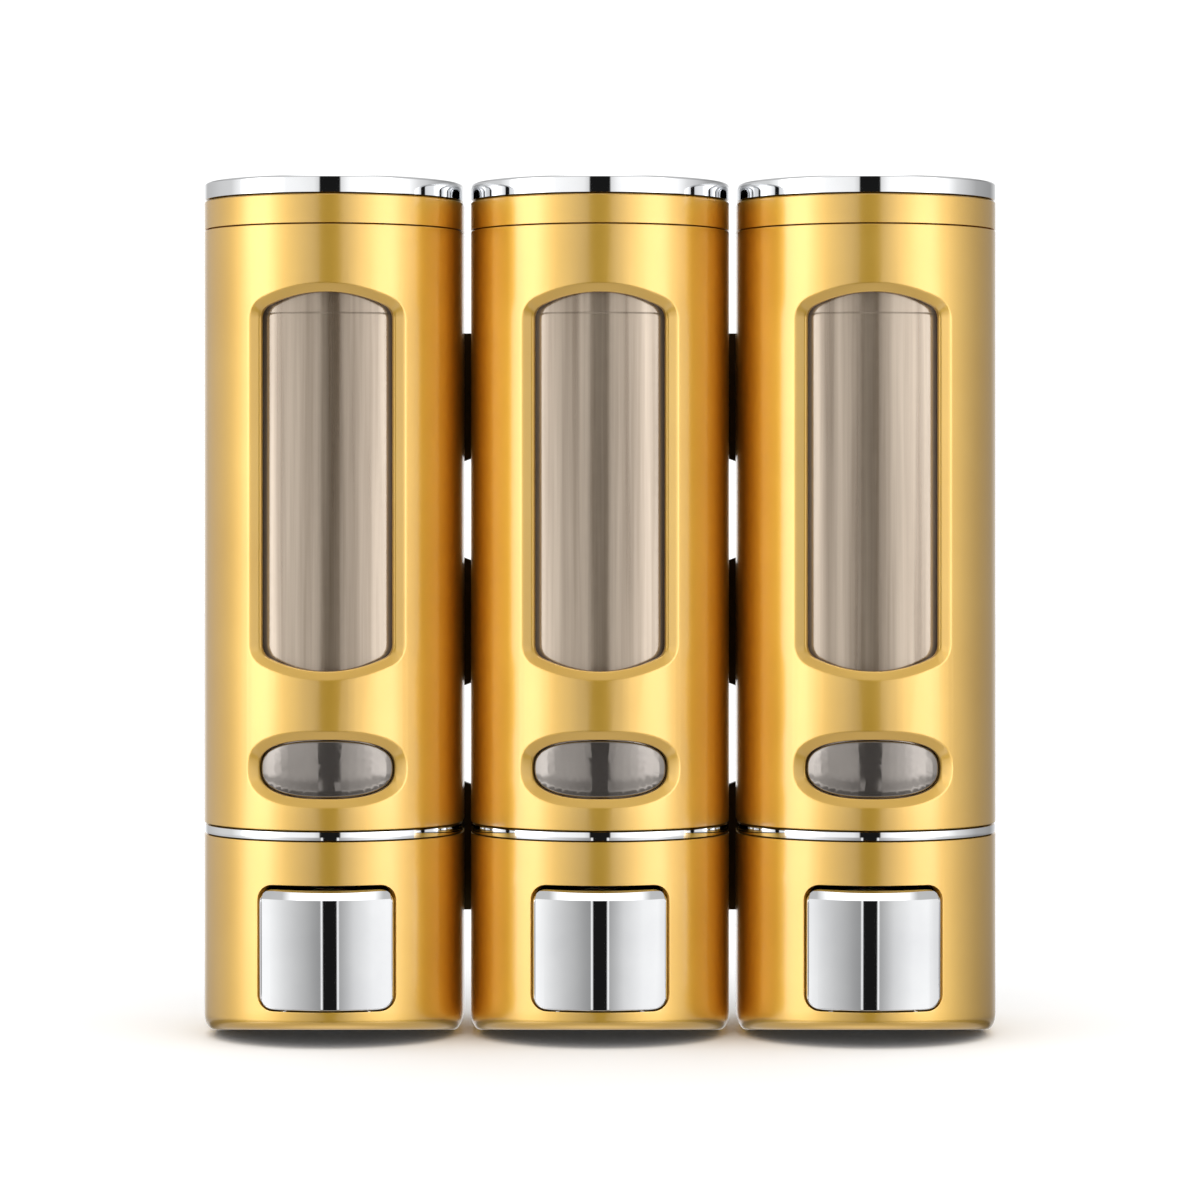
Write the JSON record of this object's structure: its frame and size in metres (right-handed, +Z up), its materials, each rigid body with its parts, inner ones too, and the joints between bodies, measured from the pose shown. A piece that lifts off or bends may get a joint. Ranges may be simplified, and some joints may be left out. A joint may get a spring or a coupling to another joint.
{
  "type": "wall mounted soap dispenser",
  "caption": "Wall mounted liquid soap dispenser with side-by-side oval chambers, lift-off lids, smoked bottles behind arched windows and hinged push buttons over plunger pumps.",
  "frame": {"origin": "centre of the four wall screw holes, on the wall plane", "axes": "+Y into the wall, so the fronts face -Y; +Z up; +X to the right as seen from the front"},
  "size_m": [0.2002, 0.0763, 0.2141],
  "materials": {
    "gold_lacquer": "satin metallic gold lacquer on moulded ABS",
    "chrome_plating": "bright chrome plating on moulded ABS",
    "smoked_plastic": "translucent smoked plastic, polished",
    "smoked_lens": "dark smoked clear plastic, polished",
    "bracket_plastic": "dark brown moulded ABS, fine matt",
    "black_plastic": "black moulded plastic, fine matt",
    "white_plastic": "natural white moulded acetal and polypropylene",
    "steel": "bright stainless steel",
    "black_rubber": "black nitrile rubber, matt",
    "grey_silicone": "grey silicone, matt",
    "clear_silicone": "milky silicone, matt"
  },
  "bodies": {
    "mounted_body": {"wall_bracket": "bracket_plastic", "base_screws": "steel", "union_nuts": "white_plastic", "neck_gaskets": "black_rubber", "casing_left": "gold_lacquer", "casing_middle": "gold_lacquer", "casing_right": "gold_lacquer", "bottle_left": "smoked_plastic", "bottle_middle": "smoked_plastic", "bottle_right": "smoked_plastic", "sight_lens_left": "smoked_lens", "sight_lens_middle": "smoked_lens", "sight_lens_right": "smoked_lens", "trim_band_left": "chrome_plating", "trim_band_middle": "chrome_plating", "trim_band_right": "chrome_plating", "pump_housing_left": "gold_lacquer", "pump_housing_middle": "gold_lacquer", "pump_housing_right": "gold_lacquer", "base_cover_left": "black_plastic", "base_cover_middle": "black_plastic", "base_cover_right": "black_plastic", "button_pin_left": "steel", "button_pin_middle": "steel", "button_pin_right": "steel", "pump_barrel_left": "white_plastic", "pump_barrel_middle": "white_plastic", "pump_barrel_right": "white_plastic", "barrel_cap_left": "white_plastic", "barrel_cap_middle": "white_plastic", "barrel_cap_right": "white_plastic", "return_spring_left": "steel", "return_spring_middle": "steel", "return_spring_right": "steel", "inlet_valve_left": "clear_silicone", "inlet_valve_middle": "clear_silicone", "inlet_valve_right": "clear_silicone", "nozzle_left": "grey_silicone", "nozzle_middle": "grey_silicone", "nozzle_right": "grey_silicone"},
    "lid_left": {"lid_cap_left": "chrome_plating", "lid_ring_left": "gold_lacquer", "lid_seal_left": "black_rubber"},
    "lid_middle": {"lid_cap_middle": "chrome_plating", "lid_ring_middle": "gold_lacquer", "lid_seal_middle": "black_rubber"},
    "lid_right": {"lid_cap_right": "chrome_plating", "lid_ring_right": "gold_lacquer", "lid_seal_right": "black_rubber"},
    "push_button_left": {"button_left": "chrome_plating"},
    "push_button_middle": {"button_middle": "chrome_plating"},
    "push_button_right": {"button_right": "chrome_plating"},
    "pump_plunger_left": {"plunger_left": "white_plastic", "plunger_seal_left": "black_rubber"},
    "pump_plunger_middle": {"plunger_middle": "white_plastic", "plunger_seal_middle": "black_rubber"},
    "pump_plunger_right": {"plunger_right": "white_plastic", "plunger_seal_right": "black_rubber"}
  },
  "joints": [
    {"name": "lid_left_lift", "type": "slide", "parent": "mounted_body", "child": "lid_left", "axis": [0, 0, 1], "range_m": [0, 0.03]},
    {"name": "lid_middle_lift", "type": "slide", "parent": "mounted_body", "child": "lid_middle", "axis": [0, 0, 1], "range_m": [0, 0.03]},
    {"name": "lid_right_lift", "type": "slide", "parent": "mounted_body", "child": "lid_right", "axis": [0, 0, 1], "range_m": [0, 0.03]},
    {"name": "button_left_press", "type": "hinge", "parent": "mounted_body", "child": "push_button_left", "pos_m": [-0.0674, -0.0663, -0.0909], "axis": [-1, 0, 0], "range_deg": [0, 12], "stiffness_Nm_per_rad": 0.12, "springref_deg": -22.92},
    {"name": "button_middle_press", "type": "hinge", "parent": "mounted_body", "child": "push_button_middle", "pos_m": [0, -0.0663, -0.0909], "axis": [-1, 0, 0], "range_deg": [0, 12], "stiffness_Nm_per_rad": 0.12, "springref_deg": -22.92},
    {"name": "button_right_press", "type": "hinge", "parent": "mounted_body", "child": "push_button_right", "pos_m": [0.0674, -0.0663, -0.0909], "axis": [-1, 0, 0], "range_deg": [0, 12], "stiffness_Nm_per_rad": 0.12, "springref_deg": -22.92},
    {"name": "plunger_left_stroke", "type": "slide", "parent": "mounted_body", "child": "pump_plunger_left", "axis": [0, 1, 0], "range_m": [0, 0.0038], "deforming": ["return_spring_left"]},
    {"name": "plunger_middle_stroke", "type": "slide", "parent": "mounted_body", "child": "pump_plunger_middle", "axis": [0, 1, 0], "range_m": [0, 0.0038], "deforming": ["return_spring_middle"]},
    {"name": "plunger_right_stroke", "type": "slide", "parent": "mounted_body", "child": "pump_plunger_right", "axis": [0, 1, 0], "range_m": [0, 0.0038], "deforming": ["return_spring_right"]}
  ],
  "couplings": [
    {"joint": "plunger_left_stroke", "follows": "button_left_press", "m_per_rad": 0.017857},
    {"joint": "plunger_middle_stroke", "follows": "button_middle_press", "m_per_rad": 0.017857},
    {"joint": "plunger_right_stroke", "follows": "button_right_press", "m_per_rad": 0.017857}
  ]
}
